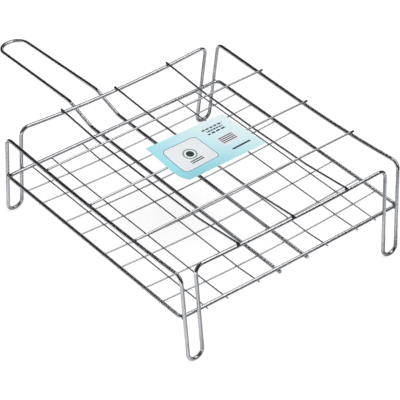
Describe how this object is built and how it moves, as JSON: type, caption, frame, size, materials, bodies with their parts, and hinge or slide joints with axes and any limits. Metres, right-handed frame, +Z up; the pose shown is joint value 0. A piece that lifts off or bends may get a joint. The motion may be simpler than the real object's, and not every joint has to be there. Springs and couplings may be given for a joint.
{
  "type": "wire barbecue grill",
  "caption": "Square wire barbecue grill on looped legs, with a fine cooking mesh, a coarse rack above it, a long looped wire handle and a printed card on the rack.",
  "frame": {"origin": "on the ground under the middle of the ring, level with the four feet's lowest points", "axes": "+X from side to side, +Y along the handle toward its tip, +Z up from the ground"},
  "size_m": [0.4074, 0.7178, 0.1551],
  "materials": {
    "frame_wire": "bright plated",
    "mesh_wire": "bright plated",
    "rack_wire": "bright plated",
    "card_print": "semi gloss print"
  },
  "bodies": {
    "root": {"ring_frame": "frame_wire", "leg_frame": "frame_wire", "handle": "frame_wire", "mesh_cross_wire_1": "mesh_wire", "mesh_cross_wire_2": "mesh_wire", "mesh_cross_wire_3": "mesh_wire", "mesh_cross_wire_4": "mesh_wire", "mesh_cross_wire_5": "mesh_wire", "mesh_cross_wire_6": "mesh_wire", "mesh_cross_wire_7": "mesh_wire", "mesh_cross_wire_8": "mesh_wire", "mesh_long_wire_1": "mesh_wire", "mesh_long_wire_2": "mesh_wire", "mesh_long_wire_3": "mesh_wire", "mesh_long_wire_4": "mesh_wire", "mesh_long_wire_5": "mesh_wire", "mesh_long_wire_6": "mesh_wire", "rack_cross_wire_1": "rack_wire", "rack_cross_wire_2": "rack_wire", "rack_cross_wire_3": "rack_wire", "rack_long_wire_1": "rack_wire", "rack_long_wire_2": "rack_wire", "rack_long_wire_3": "rack_wire", "product_card": "card_print"}
  },
  "joints": []
}
